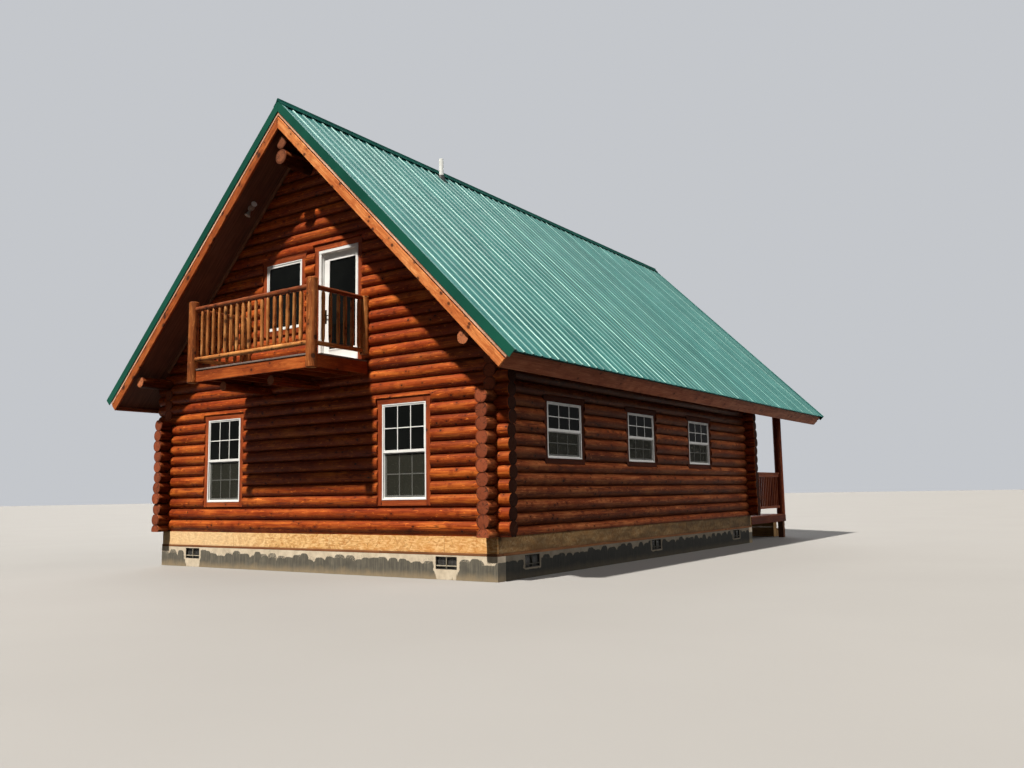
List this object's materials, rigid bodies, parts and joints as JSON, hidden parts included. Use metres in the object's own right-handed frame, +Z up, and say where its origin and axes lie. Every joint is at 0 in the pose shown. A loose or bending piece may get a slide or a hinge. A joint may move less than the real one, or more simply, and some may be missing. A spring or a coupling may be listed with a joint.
{
  "type": "log cabin",
  "caption": "Gabled log cabin with saddle-notched round logs, ribbed metal roof, front gable balcony, covered back porch and vented stem wall.",
  "frame": {"origin": "centre of the bounding box's footprint, on the level ground the stem wall stands on", "axes": "+Z up; +Y from the balcony gable back along the ridge to the porch; +X to the right when the balcony gable is faced"},
  "size_m": [9.7072, 15.4718, 8.255],
  "materials": {
    "concrete": "cast concrete with a black brushed damp-proof coat below a bare top strip",
    "vent_plastic": "dull moulded vent grille",
    "treated_timber": "rough sawn, unstained",
    "strand_board": "raw strand board",
    "floor_timber": "raw sheet and joists",
    "stained_log": "orange-brown stain, satin",
    "dark_plywood": "dark stained sheet",
    "roof_green": "teal-green coated sheet",
    "trim_green": "dark green coated sheet",
    "pale_strip": "bare pale board",
    "stained_board": "orange-brown stain, sawn",
    "red_board": "red-brown stain, sawn",
    "white_vinyl": "white extruded vinyl",
    "window_glass": "clear glass",
    "handle_metal": "aged brass",
    "grey_decking": "pale grey decking edge",
    "peeled_log": "peeled pole, golden stain",
    "white_pipe": "white drain pipe",
    "dark_rubber": "flexible pipe boot"
  },
  "bodies": {
    "root": {"foundation_walls": "concrete", "foundation_vents": "vent_plastic", "sill_plates": "treated_timber", "rim_bands": "strand_board", "ground_floor": "floor_timber", "front_wall": "stained_log", "back_wall": "stained_log", "right_wall": "stained_log", "left_wall": "stained_log", "plate_logs": "stained_log", "ridge_logs": "stained_log", "loft_floor": "floor_timber", "roof_deck_right": "dark_plywood", "roof_deck_left": "dark_plywood", "roof_metal_right": "roof_green", "roof_metal_left": "roof_green", "ridge_cap": "trim_green", "rake_trims": "trim_green", "rake_strips": "pale_strip", "barge_boards": "stained_board", "fascia_boards": "red_board", "front_window_frames": "white_vinyl", "front_window_glass": "window_glass", "back_window_frames": "white_vinyl", "back_window_glass": "window_glass", "right_window_frames": "white_vinyl", "right_window_glass": "window_glass", "left_window_frames": "white_vinyl", "left_window_glass": "window_glass", "window_trims": "stained_board", "balcony_door_frame": "white_vinyl", "balcony_door": "white_vinyl", "balcony_door_glass": "window_glass", "balcony_door_handle": "handle_metal", "entry_door_frame": "stained_board", "entry_door": "red_board", "balcony_joists": "stained_log", "balcony_frame": "red_board", "balcony_deck": "grey_decking", "balcony_posts": "peeled_log", "balcony_railing_front": "peeled_log", "balcony_railing_right": "peeled_log", "balcony_railing_left": "peeled_log", "porch_frame": "red_board", "porch_deck": "red_board", "porch_piers": "treated_timber", "porch_posts": "stained_log", "porch_truss": "stained_log", "porch_railing_right": "red_board", "porch_railing_left": "red_board", "porch_railing_back": "red_board", "porch_steps": "treated_timber", "vent_pipe": "white_pipe", "vent_boot": "dark_rubber"}
  },
  "joints": []
}
